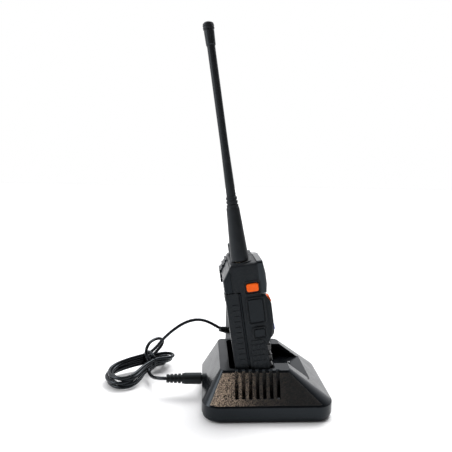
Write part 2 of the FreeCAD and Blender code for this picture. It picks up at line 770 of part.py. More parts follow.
def battery():
    place = radio_place()
    case = new_body("battery_case", place)
    depth, tall = S["battery_depth"], S["battery_height"]
    plan = rectangle(case, "XY", 0.3, (0, -depth / 2), S["radio_width"], depth, 0.9)
    pad(case, plan, tall - 0.3)
    room = rectangle(case, "XZ", depth + 1, (0, tall / 2), S["radio_width"] - 4.4, tall - 5.0, 1.0)
    pocket(case, room, depth - 1.6 + 1)
    for side, way in ((-1, "forward"), (1, "backward")):
        groove = rectangle(case, "YZ", side * HALF + side, (-7.2, 16.0), 5.0, 0.9, 0.4)
        repeat(case, pocket(case, groove, 1.4, way), "V_Axis", GRIP_PITCH, 15)
    latch_window = rectangle(case, "XZ", -1, (LATCH_X, tall - LATCH_DROP), 13.0, 5.0, 1.2)
    pocket(case, latch_window, 4, "forward")
    latch = new_body("battery_latch", radio_place(LATCH_X, 0, tall - LATCH_DROP))
    pad(latch, rectangle(latch, "XZ", -0.5, (0, 0), 12.3, 4.3, 0.9), 2.9)
    pad(latch, rectangle(latch, "XZ", 1.8, (0, 0), 14.0, 4.8, 0.9), 0.9)
    cells = new_body("battery_cells", place)
    for x in (-12.6, 12.6):
        pad(cells, rectangle(cells, "XY", 5.0, (x, -6.8), 24.4, 6.6, 2.0), 68.0)
    contacts = new_body("battery_contacts", place)
    spots = [(x, 10.0) for x in (-9.0, -3.0, 3.0, 9.0)]
    pad(contacts, rectangles(contacts, "XZ", depth - 0.4, spots, 3.0, 4.4, 0.4), 0.9)


def jack_cover():
    body = new_body("jack_cover", radio_place(HALF, S["housing_back"] + 0.4, JACK_COVER_W))
    pad(body, rectangle(body, "YZ", 0.25, (-5.2, 0), 9.8, 23.0, 1.6), 1.3)
    ease(body, "Fillet", lambda a, b: a.x > 1.5 and b.x > 1.5, 0.5)
    for _, w, radius in JACKS:
        stem = circles(body, "YZ", -1.6, [(-4.5, w - JACK_COVER_W)], radius - 0.2)
        pad(body, stem, 2.4)
    return body


# ---------------------------------------------------------------- cradle

DECK_FRONT = S["deck_middle"] - S["deck_depth"] / 2
SHELL_BOTTOM = S["foot_height"] + S["plate_height"] - 1.0
POCKET_GAP = 1.1
LAMP_SPOT = (8.0, -25.0)
LAMP_RADIUS = 1.5
CRADLE_SCREWS = ((-34.0, -40.0), (34.0, -40.0), (-34.0, 40.0), (34.0, 40.0))
FOOT_SPOTS = ((-30.0, -30.0), (30.0, -30.0), (-30.0, 30.0), (30.0, 30.0))
SEAM_INSET = 0.9


def cradle_shell():
    body = new_body("cradle_shell")
    wide, deep = S["cradle_width"], S["cradle_depth"]
    band = rectangle(body, "XY", SHELL_BOTTOM, (0, 0), wide, deep, S["cradle_corner"])
    pad(body, band, S["band_top"] - SHELL_BOTTOM)
    slopes(body, "AdditiveLoft", 0)
    slopes(body, "SubtractiveLoft", S["shell_wall"])
    hollow = rectangle(body, "XY", SHELL_BOTTOM - 1, (0, 0), wide - 2 * S["shell_wall"],
                       deep - 2 * S["shell_wall"], S["cradle_corner"] - S["shell_wall"])
    pocket(body, hollow, S["band_top"] - SHELL_BOTTOM + 1, "forward")
    radio_tub(body)
    front_notch(body)
    side_slots(body)
    jack_hole = circles(body, "XZ", -deep / 2 - 1, [(0, S["jack_height"])], 4.3)
    pocket(body, jack_hole, 12, "forward")
    return body


def slopes(body, kind, inset):
    """The four slopes from the upright band to the deck, or the room inside them."""
    low = rectangle(body, "XY", S["band_top"], (0, 0), S["cradle_width"] - 2 * size(inset),
                    S["cradle_depth"] - 2 * size(inset), S["cradle_corner"] - inset)
    high = rectangle(body, "XY", S["deck_height"] - size(inset) * 1.1, (0, S["deck_middle"]),
                     S["deck_width"] - 2 * size(inset), S["deck_depth"] - 2 * size(inset),
                     4.6 - size(inset))
    loft = body.newObject(f"PartDesign::{kind}", f"{body.Name}_{kind.lower()}")
    loft.Profile = low
    loft.Sections = [high]
    loft.Ruled = True
    settle(body, loft)


def tilted(sketch):
    """Leans a level sketch as the radio leans, about the radio's own resting point."""
    place = sketch.AttachmentOffset
    rise = place.Base.z
    lean = radio_place().Rotation
    sketch.setExpression("AttachmentOffset.Base.z", None)
    base = radio_place().Base + lean.multVec(FreeCAD.Vector(0, 0, rise))
    sketch.AttachmentOffset = FreeCAD.Placement(base, lean)
    sketch.recompute()
    return sketch


def radio_tub(body):
    """The leaning tub that the radio stands in, closed at its bottom, and the notch's sill."""
    front, back = S["keypad_front"] + 3.6, -4.4
    middle = (0, -(front + back) / 2)
    wide = S["radio_width"] + 2 * POCKET_GAP
    tub_wall = 1.6
    tub = rectangle(body, "XY", -3.2, middle, wide + 2 * tub_wall, front - back + 2 * tub_wall, 3.0)
    pad(body, tilted(tub), 16.0)
    skirt = rectangle(body, "XY", S["band_top"] + 2, (0, 12.0), wide + 2 * tub_wall, 43.0, 2.0)
    pad(body, skirt, S["deck_height"] - S["band_top"] - 3)
    sill = rectangle(body, "XY", S["notch_floor"] - 2, (0, -20.0), S["notch_width"] + 4, 33.0, 1.0)
    pad(body, sill, 2)
    void = rectangle(body, "XY", -0.9, middle, wide, front - back, 2.4)
    pocket(body, tilted(void), 50.0, "forward")


def front_notch(body):
    """The cut in the front slope down to the sill, open to the tub, and the lamp's hole."""
    reach = 42.0
    floor_front = 36.2
    opening = rectangle(body, "XY", S["notch_floor"], (0, -floor_front + reach / 2),
                        S["notch_width"], reach, 1.2)
    pocket(body, opening, 20, "forward")
    lamp = circles(body, "XY", S["notch_floor"] + 1, [LAMP_SPOT], LAMP_RADIUS + 0.1)
    pocket(body, lamp, 5)


def side_slots(body):
    """Seven cooling slots down each side, open at the deck's edge."""
    tall = S["deck_height"] + 3 - S["slot_bottom"]
    first = S["slot_middle"] - (SLOT_COUNT - 1) / 2 * S["slot_pitch"]
    middle = (first, S["slot_bottom"] + tall / 2)
    tub_side = S["radio_width"] / 2 + POCKET_GAP + 1.2
    for side, way in ((-1, "backward"), (1, "forward")):
        slot = rectangle(body, "YZ", side * tub_side, middle, S["slot_width"], tall, 0.6)
        repeat(body, pocket(body, slot, 16, way), "H_Axis", S["slot_pitch"], SLOT_COUNT)


def cradle_floor():
    body = new_body("cradle_floor")
    wide, deep = S["cradle_width"], S["cradle_depth"]
    foot, top = S["foot_height"], SHELL_BOTTOM
    plate = rectangle(body, "XY", foot, (0, 0), wide - 2 * SEAM_INSET, deep - 2 * SEAM_INSET,
                      S["cradle_corner"] - SEAM_INSET)
    pad(body, plate, top - 0.25 - foot)
    ease(body, "Chamfer", lambda a, b: a.z < foot.value + 0.01 and b.z < foot.value + 0.01, 0.8)
    room = rectangle(body, "XY", top, (0, 0), wide - 7, deep - 7, S["cradle_corner"] - 3)
    pocket(body, room, 1.9)
    posts = circles(body, "XY", foot + 1, list(CRADLE_SCREWS), 3.0)
    pad(body, posts, 4.0)
    pocket(body, circles(body, "XY", foot - 1, list(CRADLE_SCREWS), 2.4), 2.2, "forward")
    pocket(body, circles(body, "XY", foot - 1, list(CRADLE_SCREWS), 1.3), 9, "forward")
    return body


def cradle_fittings():
    """Feet, screws, the charging board with its lamp and contacts, and the supply jack."""
    feet = new_body("cradle_feet")
    pad(feet, circles(feet, "XY", 0, list(FOOT_SPOTS), 5.0), S["foot_height"])
    screws = new_body("cradle_screws")
    pad(screws, circles(screws, "XY", S["foot_height"] + 0.15, list(CRADLE_SCREWS), 2.2), 1.0)
    pad(screws, circles(screws, "XY", S["foot_height"] + 0.5, list(CRADLE_SCREWS), 1.1), 5.5)
    board = new_body("cradle_board")
    pad(board, rectangle(board, "XY", 5.2, (0, -30.0), 56.0, 22.0, 1.0), 1.6)
    pad(board, circles(board, "XY", 6.0, [(14.0, -32.0)], 5.0), 9.0)
    pad(board, circles(board, "XY", 6.0, [(-14.0, -32.0)], 3.6), 7.0)
    lamp = new_body("cradle_led")
    pad(lamp, circles(lamp, "XY", S["notch_floor"] - 2.6, [LAMP_SPOT], LAMP_RADIUS), 3.3)
    contacts = new_body("charge_contacts", radio_place())
    spots = [(x, -S["battery_depth"] / 2) for x in (-6.0, 6.0)]
    pad(contacts, rectangles(contacts, "XY", -0.85, spots, 3.2, 1.6, 0.5), 0.8)
    jack = new_body("dc_jack", FreeCAD.Placement(vector(0, 0, S["jack_height"]), FreeCAD.Rotation()))
    back = S["cradle_depth"] / 2
    pad(jack, circles(jack, "XZ", -back, [(0, 0)], 4.1), 11)
    pocket(jack, circles(jack, "XZ", -back - 1, [(0, 0)], 3.0), 10, "forward")


# ---------------------------------------------------------------- supply and its cord

PLUG_FACE_Y = S["cradle_depth"] / 2 + 0.2
PLUG_LONG = 17.0
PLUG_RELIEF = 13.4


def lying(x, y, z):
    """A placement whose Z axis lies along +Y."""
    return FreeCAD.Placement(vector(x, y, z), FreeCAD.Rotation(FreeCAD.Vector(1, 0, 0), -90))


def dc_plug():
    """The plug in the cradle's back: its pin, grip and ribbed strain relief."""
    body = new_body("dc_plug", lying(0, PLUG_FACE_Y, S["jack_height"]))
    grip = S["plug_radius"]
    points = [(0, -8.0), (2.75, -8.0), (2.75, 0), (grip - 0.6, 0), (grip, 0.8),
              (grip, PLUG_LONG - 3.0), (grip - 0.5, PLUG_LONG)]
    rib_pitch = PLUG_RELIEF / 4
    for rib in range(4):
        foot = PLUG_LONG + rib * rib_pitch
        points += [(2.9, foot + 0.2), (2.9, foot + 0.9), (4.1 - 0.2 * rib, foot + 1.1),
                   (4.1 - 0.2 * rib, foot + rib_pitch)]
    turn(body, points + [(0, PLUG_LONG + PLUG_RELIEF)])


def adapter_place(x, y, z):
    """The placement of a frame at a point of the wall adapter, turned as it stands."""
    turned = FreeCAD.Rotation(FreeCAD.Vector(0, 0, 1), S["adapter_turn"].value)
    stands = vector(S["adapter_x"], S["adapter_y"])
    return FreeCAD.Placement(stands + turned.multVec(vector(x, y, z)), turned)


def adapter():
    """The wall adapter, with its blades away from the cradle and its cord out of one side."""
    thick, wide, tall = S["adapter_thick"], S["adapter_wide"], S["adapter_tall"]
    case = new_body("adapter_case", adapter_place(0, 0, 0))
    pad(case, rectangle(case, "XY", 0, (0, 0), thick, wide, 5.0), tall)
    ease(case, "Fillet", lambda a, b: min(a.z, b.z) > tall.value - 0.01, 3.4)
    face = rectangle(case, "YZ", thick / 2 - 0.5, (0, S["blade_middle"]), 25.0, 22.0, 4.0)
    pad(case, face, 1.5)
    blades = new_body("adapter_blades", adapter_place(thick / 2 + 1.0, 0, S["blade_middle"]))
    pins = [(0, -6.35), (0, 6.35)]
    pad(blades, rectangles(blades, "YZ", 0.02, pins, 6.3, 1.5, 0.3), 16.0)
    pocket(blades, circles(blades, "XY", 9, [(12.5, 0)], 1.5), 20)
    relief = new_body("adapter_relief", relief_place())
    points = [(0, -1.0), (3.9, -1.0), (3.9, 0.8)]
    rib_pitch = (S["relief_length"] - 1.2) / 4
    for rib in range(4):
        foot = 1.2 + rib * rib_pitch
        points += [(2.3, foot), (2.3, foot + 0.7), (3.5 - 0.3 * rib, foot + 0.9),
                   (3.5 - 0.3 * rib, foot + rib_pitch - 0.1)]
    turn(relief, points + [(0, S["relief_length"])])


def relief_place():
    """The strain relief's frame: its Z axis points out of the adapter's side and a little up."""
    out = adapter_place(-2.0, S["adapter_wide"] / 2, S["relief_z"])
    rise = FreeCAD.Rotation(FreeCAD.Vector(1, 0, 0), S["relief_rise"].value - 90)
    return out.multiply(FreeCAD.Placement(FreeCAD.Vector(), rise))


def plug_lead_route():
    """From the plug's strain relief, down beside the hank and into it."""
    exit_y = PLUG_FACE_Y.value + PLUG_LONG + PLUG_RELIEF
    return [
        (0.0, exit_y, S["jack_height"].value),
        (1.0, 91.0, 14.4),
        (7.5, 97.0, 11.2),
        (16.5, 100.5, 8.8),
        (26.0, 103.5, 7.8),
    ]


def adapter_lead_route():
    """Out of the adapter's strain relief, over in a low arch and down into the hank's tie."""
    tip = relief_place().multVec(vector(0, 0, S["relief_length"]))
    return [
        (tip.x, tip.y, tip.z),
        (57.6, 46.0, 44.0),
        (56.0, 57.0, 47.4),
        (54.5, 68.0, 46.0),
        (53.0, 78.5, 40.4),
        (51.5, 88.0, 32.4),
        (49.5, 95.5, 24.0),
        (47.0, 101.5, 15.0),
    ]


def tube(label, route):
    """A cord along a route: straight runs joined by arcs as large as the runs allow."""
    points = [FreeCAD.Vector(*point) for point in route]
    edges, start = [], points[0]
    for before, corner, after in zip(points, points[1:], points[2:]):
        come, leave = (corner - before), (after - corner)
        reach = 0.45 * min(come.Length, leave.Length)
        angle = come.getAngle(leave)
        radius = reach / math.tan(angle / 2)
        come.normalize()
        leave.normalize()
        first, last = corner - come * reach, corner + leave * reach
        inward = (leave - come).normalize()
        middle = corner + inward * (math.hypot(reach, radius) - radius)
        edges += [Part.LineSegment(start, first), Part.Arc(first, middle, last)]
        start = last
        print(f"{label}: turn {math.degrees(angle):5.1f}, radius {radius:6.1f}")
    edges.append(Part.LineSegment(start, points[-1]))
    wire = Part.Wire([edge.toShape() for edge in edges])
    radius = S["cord_diameter"].value / 2
    disc = Part.Circle(points[0], points[1] - points[0], radius)
    section = Part.Wire([disc.toShape()])
    solid = wire.makePipeShell([section], True, False)
    expected = math.pi * radius**2 * wire.Length
    print(f"{label}: length {wire.Length:.1f}, volume {solid.Volume:.0f} for {expected:.0f}")
    feature = doc.addObject("Part::Feature", label)
    feature.Shape = solid
    feature.Label = label
    SUBPARTS.append(feature)


def cord_hank():
    """The tied hank as one closed solid: open loops, the tie, the short loops and the high loop."""
    body = new_body("cord_hank")
    pad(body, rectangle(body, "XY", 0, (27.0, 122.0), 50.0, 44.0, 16.0), 13.0)
    pad(body, rectangle(body, "XY", 0, (43.0, 106.0), 34.0, 20.0, 6.0), 20.0)
    pad(body, rectangle(body, "XY", 0, (56.0, 92.0), 32.0, 24.0, 8.0), 15.0)
    pad(body, rectangle(body, "XY", 0, (48.0, 99.0), 24.0, 18.0, 7.0), 27.0)


# ---------------------------------------------------------------- the whole object

front_housing()
rear_chassis()
lcd_bezel()
lcd_and_boards()
control_seats()
buttons()
volume_knob()
antenna()
battery()
jack_cover()
cradle_shell()
cradle_floor()
cradle_fittings()
dc_plug()
adapter()
tube("cord_plug_lead", plug_lead_route())
tube("cord_adapter_lead", adapter_lead_route())
cord_hank()

doc.recompute()
for item in doc.Objects:
    if "Invalid" in item.State or "Error" in item.State:
        raise RuntimeError(f"{item.Name} did not build: {item.State}")
for item in SUBPARTS:
    if item.Shape.isNull() or not item.Shape.isValid():
        raise RuntimeError(f"{item.Label} has no valid shape")
os.makedirs("parts", exist_ok=True)
for item in SUBPARTS:
    item.Shape.exportStep(f"parts/{item.Label}.step")
print(f"{len(SUBPARTS)} sub-parts")
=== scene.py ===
"""The looks of a handheld two-way radio in its charging cradle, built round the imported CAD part."""

import json
import math

import bpy
from mathutils import Matrix, Vector


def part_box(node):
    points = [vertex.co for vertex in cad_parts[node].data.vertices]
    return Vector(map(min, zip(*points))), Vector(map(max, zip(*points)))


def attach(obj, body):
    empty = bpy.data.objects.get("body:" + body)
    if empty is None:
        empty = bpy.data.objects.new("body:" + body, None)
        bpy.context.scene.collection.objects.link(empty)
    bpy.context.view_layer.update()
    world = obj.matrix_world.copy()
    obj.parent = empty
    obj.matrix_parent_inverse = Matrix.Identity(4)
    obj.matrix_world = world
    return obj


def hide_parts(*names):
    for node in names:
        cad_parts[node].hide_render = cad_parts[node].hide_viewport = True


MM = 0.001
COOL = (0.78, 0.9, 1.0, 1.0)    # the tint of the black plastics' reflections
# a colour mix node's two colour inputs, and its colour output
MIX_A = 6
MIX_B = 7
MIX_RESULT = 2

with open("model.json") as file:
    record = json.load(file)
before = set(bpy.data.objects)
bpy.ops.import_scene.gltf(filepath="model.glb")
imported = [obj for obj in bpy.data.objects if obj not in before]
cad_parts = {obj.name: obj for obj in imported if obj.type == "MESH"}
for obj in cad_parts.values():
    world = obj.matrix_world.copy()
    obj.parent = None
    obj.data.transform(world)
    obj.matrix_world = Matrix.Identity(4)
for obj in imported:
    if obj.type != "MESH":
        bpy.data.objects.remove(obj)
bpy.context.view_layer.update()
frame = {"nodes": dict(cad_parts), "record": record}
NODES = frame["nodes"]
scene = bpy.context.scene
scene.view_settings.view_transform = "Standard"


# ---------------------------------------------------------------- camera, light and floor

CAMERA_PLACE = (-0.34609, 0.05211, 0.19109)
CAMERA_YAW = 3.01      # degrees clockwise from +X, seen from above
CAMERA_PITCH = 6.91    # degrees down
CAMERA_ROLL = 1.04     # degrees
LENS = 33.3
SENSOR_WIDTH = 36.0
NEAREST = 0.01

# the room that lights the object, brightest on one side, and plain white where the camera sees it
BRIGHT_SIDE = (0.75, 0.15, 0.62)
BRIGHT = 1.25
BRIGHT_FROM = 0.55     # the cosine to the bright side from which the room is fully bright
DIM = 0.06
BLUER = 1.02           # how much more blue than red there is in the room
SEEN_WHITE = (1.0, 1.0, 1.0, 1.0)

KEY_FROM = (0.45, -0.35, 0.9)
KEY_SPREAD = 38.0      # degrees
KEY_STRENGTH = 2.4
LEFT_PLACE = (-0.2, 0.9, 0.45)
LEFT_TARGET = (0.0, 0.0, 0.1)
LEFT_WIDE = 0.4
LEFT_TALL = 0.5
LEFT_POWER = 4.0
FLOOR_SIZE = 12.0


def add_camera():
    data = bpy.data.cameras.new("camera")
    data.lens = LENS
    data.sensor_width = SENSOR_WIDTH
    data.clip_start = NEAREST
    camera = bpy.data.objects.new("camera", data)
    heading = Matrix.Rotation(math.radians(-90 - CAMERA_YAW), 4, "Z")
    tilt = Matrix.Rotation(math.radians(90 - CAMERA_PITCH), 4, "X")
    roll = Matrix.Rotation(math.radians(CAMERA_ROLL), 4, "Z")
    camera.matrix_world = Matrix.Translation(CAMERA_PLACE) @ heading @ tilt @ roll
    scene.collection.objects.link(camera)
    scene.camera = camera


def add_light(name, place, target, wide, tall, power):
    """A soft rectangular light at a place, turned to a target."""
    data = bpy.data.lights.new(name, "AREA")
    data.shape = "RECTANGLE"
    data.size = wide
    data.size_y = tall
    data.energy = power
    light = bpy.data.objects.new(name, data)
    light.location = place
    light.rotation_euler = (Vector(target) - Vector(place)).to_track_quat("-Z", "Y").to_euler()
    scene.collection.objects.link(light)


def add_sun(name, direction, angle, strength):
    """A broad, even light from one direction, so that the floor stays white to the horizon."""
    data = bpy.data.lights.new(name, "SUN")
    data.angle = math.radians(angle)
    data.energy = strength
    sun = bpy.data.objects.new(name, data)
    sun.rotation_euler = Vector(direction).to_track_quat("Z", "Y").to_euler()
    scene.collection.objects.link(sun)


def add_world():
    """A white room: bright overhead and behind the object, dim on the camera's side."""
    world = bpy.data.worlds.new("studio")
    world.use_nodes = True
    tree = world.node_tree
    direction = tree.nodes.new("ShaderNodeTexCoord").outputs["Generated"]
    dot = tree.nodes.new("ShaderNodeVectorMath")
    dot.operation = "DOT_PRODUCT"
    dot.inputs[1].default_value = Vector(BRIGHT_SIDE).normalized()
    ramp = tree.nodes.new("ShaderNodeValToRGB")
    ramp.color_ramp.interpolation = "EASE"
    for element, (position, level) in zip(ramp.color_ramp.elements, ((0.0, DIM), (BRIGHT_FROM, BRIGHT))):
        element.position = position
        element.color = (level, level, level * BLUER, 1.0)
    seen = tree.nodes.new("ShaderNodeLightPath").outputs["Is Camera Ray"]
    shown = tree.nodes.new("ShaderNodeMix")
    shown.data_type = "RGBA"
    shown.inputs[MIX_B].default_value = SEEN_WHITE
    tree.links.new(direction, dot.inputs[0])
    tree.links.new(dot.outputs["Value"], ramp.inputs["Fac"])
    tree.links.new(seen, shown.inputs["Factor"])
    tree.links.new(ramp.outputs["Color"], shown.inputs[MIX_A])
    tree.links.new(shown.outputs[MIX_RESULT], tree.nodes["Background"].inputs["Color"])
    scene.world = world


def add_studio():
    add_world()
    add_sun("key", KEY_FROM, KEY_SPREAD, KEY_STRENGTH)
    add_light("left", LEFT_PLACE, LEFT_TARGET, LEFT_WIDE, LEFT_TALL, LEFT_POWER)
    bpy.ops.mesh.primitive_grid_add(x_subdivisions=2, y_subdivisions=2, size=FLOOR_SIZE)
    floor = bpy.context.object
    floor.name = "floor"
    floor.data.materials.append(floor_material())


# ---------------------------------------------------------------- material nodes

NOISE_ROUGHNESS = 0.55
NOISE_LOW = 0.3        # most of a noise's values lie between these two
NOISE_HIGH = 0.7
BEVEL_SAMPLES = 6
EDGE_SHARPNESS = 6.0
EDGE_PALENESS = 0.5             # how far a sharp edge goes towards its paler colour: partly wear, partly a painted edge highlight


class Surface:
    """A node material that is built up from a principled shader and short chains of nodes."""

    def __init__(self, name, colour, rough, metal=0.0, level=0.5, coat=0.0, coat_rough=0.1):
        self.material = bpy.data.materials.new(name)
        self.material.use_nodes = True
        self.tree = self.material.node_tree
        self.shader = self.tree.nodes["Principled BSDF"]
        self.set("Base Color", (*colour, 1.0))
        self.set("Roughness", rough)
        self.set("Metallic", metal)
        self.set("Specular IOR Level", level)
        self.set("Coat Weight", coat)
        self.set("Coat Roughness", coat_rough)
        self.place = self.add("ShaderNodeTexCoord").outputs["Object"]
        self.normal = None

    def set(self, socket, value):
        self.shader.inputs[socket].default_value = value

    def add(self, kind, **settings):
        node = self.tree.nodes.new(kind)
        for name, value in settings.items():
            setattr(node, name, value)
        return node

    def link(self, output, entry):
        self.tree.links.new(output, entry)

    def noise(self, size, detail, stretch=None):
        """Noise with features of about a size in millimetres."""
        node = self.add("ShaderNodeTexNoise")
        node.inputs["Scale"].default_value = 1.0 / (size * MM)
        node.inputs["Detail"].default_value = detail
        node.inputs["Roughness"].default_value = NOISE_ROUGHNESS
        self.link(self.stretched(stretch), node.inputs["Vector"])
        return node.outputs["Fac"]

    def cells(self, size):
        """Voronoi cells of about a size in millimetres: their distance and their random colour."""
        node = self.add("ShaderNodeTexVoronoi", feature="F1")
        node.inputs["Scale"].default_value = 1.0 / (size * MM)
        self.link(self.place, node.inputs["Vector"])
        return node.outputs["Distance"], node.outputs["Color"]

    def stretched(self, stretch):
        if stretch is None:
            return self.place
        mapping = self.add("ShaderNodeMapping")
        mapping.inputs["Scale"].default_value = stretch
        self.link(self.place, mapping.inputs["Vector"])
        return mapping.outputs["Vector"]

    def ramp(self, source, *stops):
        """A ramp through (position, value or colour) stops."""
        node = self.add("ShaderNodeValToRGB")
        elements = node.color_ramp.elements
        while len(elements) < len(stops):
            elements.new(0.5)
        for element, (position, value) in zip(elements, stops):
            element.position = position
            colour = value if isinstance(value, tuple) else (value, value, value)
            element.color = (*colour, 1.0)
        self.link(source, node.inputs["Fac"])
        return node.outputs["Color"]

    def between(self, source, low, high, start=NOISE_LOW, end=NOISE_HIGH):
        """A ramp from one value or colour to another, from a start to an end of the source."""
        return self.ramp(source, (start, low), (end, high))

    def math(self, operation, a, b=None):
        node = self.add("ShaderNodeMath", operation=operation)
        for index, entry in enumerate((a, b)):
            if entry is None:
                continue
            if isinstance(entry, (int, float)):
                node.inputs[index].default_value = entry
            else:
                self.link(entry, node.inputs[index])
        return node.outputs["Value"]

    def mix(self, factor, a, b):
        """A mix of two colours, each a tuple or a socket."""
        node = self.add("ShaderNodeMix", data_type="RGBA")
        self.link(factor, node.inputs["Factor"])
        for index, entry in ((MIX_A, a), (MIX_B, b)):
            if isinstance(entry, tuple):
                node.inputs[index].default_value = (*entry, 1.0)
            else:
                self.link(entry, node.inputs[index])
        return node.outputs[MIX_RESULT]

    def bump(self, height, depth):
        """Adds relief of a depth in millimetres."""
        node = self.add("ShaderNodeBump")
        node.inputs["Strength"].default_value = 1.0
        node.inputs["Distance"].default_value = depth * MM
        self.link(height, node.inputs["Height"])
        if self.normal is not None:
            self.link(self.normal, node.inputs["Normal"])
        self.normal = node.outputs["Normal"]
        self.link(self.normal, self.shader.inputs["Normal"])

    def soften(self, radius):
        """Rounds sharp edges in the shading, by a radius in millimetres."""
        node = self.add("ShaderNodeBevel", samples=BEVEL_SAMPLES)
        node.inputs["Radius"].default_value = radius * MM
        self.normal = node.outputs["Normal"]
        self.link(self.normal, self.shader.inputs["Normal"])

    def edges(self, radius):
        """A mask that is 1 on the part's sharp edges."""
        bevel = self.add("ShaderNodeBevel", samples=BEVEL_SAMPLES)
        bevel.inputs["Radius"].default_value = radius * MM
        true = self.add("ShaderNodeNewGeometry").outputs["Normal"]
        dot = self.add("ShaderNodeVectorMath", operation="DOT_PRODUCT")
        self.link(bevel.outputs["Normal"], dot.inputs[0])
        self.link(true, dot.inputs[1])
        gap = self.math("SUBTRACT", 1.0, dot.outputs["Value"])
        sharp = self.math("MULTIPLY", gap, EDGE_SHARPNESS)
        return self.math("MINIMUM", sharp, 1.0)

    def colour(self, source):
        self.link(source, self.shader.inputs["Base Color"])

    def rough(self, source):
        self.link(source, self.shader.inputs["Roughness"])


def scaled(colour, factor):
    return tuple(part * factor for part in colour)


def moulded(name, colour, rough=0.42, grain=0.22, depth=0.012, edge=0.3, level=0.25):
    """Moulded plastic: a fine spark-eroded grain, slow mottling and paler sharp edges, which are partly wear
    and partly a painted edge highlight.
    """
    surface = Surface(name, colour, rough, level=level)
    surface.set("Specular Tint", COOL)
    surface.soften(edge)
    mottle = surface.noise(9.0, 4.0)
    tone = surface.between(mottle, scaled(colour, 0.82), scaled(colour, 1.2))
    # paler sharp edges: partly wear, partly a painted edge highlight
    pale_edge = surface.edges(edge)
    surface.colour(surface.mix(surface.math("MULTIPLY", pale_edge, EDGE_PALENESS), tone, scaled(colour, 2.2)))
    surface.rough(surface.between(mottle, rough - 0.04, rough + 0.05))
    surface.bump(surface.noise(grain, 2.0), depth)
    return surface.material


def rubber(name, colour, rough=0.6):
    """Soft moulded rubber: matt, with faint dust and a soft grain."""
    surface = Surface(name, colour, rough, level=0.22)
    surface.set("Specular Tint", COOL)
    surface.soften(0.2)
    cloud = surface.noise(6.0, 5.0)
    surface.colour(surface.between(cloud, scaled(colour, 0.8), scaled(colour, 1.35), end=0.75))
    surface.rough(surface.between(cloud, rough - 0.05, rough + 0.06))
    surface.bump(surface.noise(0.35, 2.0), 0.01)
    return surface.material


def metal(name, colour, rough, scratch=(1.0, 1.0, 12.0)):
    """Bare metal with fine drawn scratches and a slow change of polish."""
    surface = Surface(name, colour, rough, metal=1.0)
    surface.soften(0.15)
    drawn = surface.noise(1.2, 4.0, stretch=scratch)
    surface.colour(surface.between(drawn, scaled(colour, 0.85), colour, 0.25, 0.75))
    surface.rough(surface.between(drawn, rough * 0.8, rough * 1.25))
    surface.bump(drawn, 0.004)
    return surface.material


def glossy(name, colour, rough=0.22, level=0.5, coat=0.25):
    """Satin coloured plastic, as on the keys."""
    surface = Surface(name, colour, rough, level=level, coat=coat, coat_rough=0.12)
    surface.soften(0.25)
    slow = surface.noise(5.0, 3.0)
    surface.colour(surface.between(slow, scaled(colour, 0.88), scaled(colour, 1.08)))
    surface.rough(surface.between(slow, rough - 0.03, rough + 0.05))
    surface.bump(surface.noise(0.3, 2.0), 0.004)
    return surface.material


def clear(name, colour):
    surface = Surface(name, colour, 0.06, level=0.5)
    surface.set("Transmission Weight", 0.92)
    surface.set("IOR", 1.49)
    smear = surface.noise(7.0, 4.0)
    surface.rough(surface.between(smear, 0.03, 0.14, 0.35, 0.75))
    surface.bump(smear, 0.003)
    return surface.material


def circuit_board():
    """Green solder mask with paler tracks and pads."""
    colour = (0.02, 0.12, 0.05)
    surface = Surface("circuit_board", colour, 0.35)
    distance, _ = surface.cells(2.4)
    track = surface.between(distance, 0.0, 1.0, 0.36, 0.4)
    surface.colour(surface.mix(track, colour, (0.06, 0.24, 0.1)))
    surface.bump(track, 0.03)
    return surface.material


def display():
    """An unlit liquid crystal display with its faint rows of segments."""
    surface = Surface("display", (0.16, 0.2, 0.17), 0.3)
    rows = surface.noise(1.1, 1.0, stretch=(0.4, 1.0, 1.0))
    surface.colour(surface.between(rows, (0.15, 0.19, 0.16), (0.11, 0.14, 0.12), 0.45, 0.6))
    surface.bump(rows, 0.01)
    return surface.material


def floor_material():
    surface = Surface("floor_paper", (0.93, 0.93, 0.93), 0.7, level=0.1)
    fibre = surface.noise(2.0, 5.0)
    surface.colour(surface.between(fibre, (0.92, 0.92, 0.92), (0.94, 0.94, 0.94)))
    surface.bump(fibre, 0.01)
    return surface.material


# the textured trapezoid on each side of the cradle, in millimetres
PANEL_LOW = 14.4
PANEL_HIGH = 36.3
PANEL_BACK_LOW = 46.0
PANEL_BACK_HIGH = 36.0
PANEL_FRONT_LOW = -42.0
PANEL_FRONT_HIGH = -17.0
PANEL_OUTSIDE = 30.0   # the panels lie further out from the middle than this
PANEL_FACING = 0.6     # and their surface faces sideways by more than this
HIGHLIGHT_FADE_END = 18.0     # the glitter, painted brightest at the back of the panel as a highlight, has all but faded out this far in front of the middle


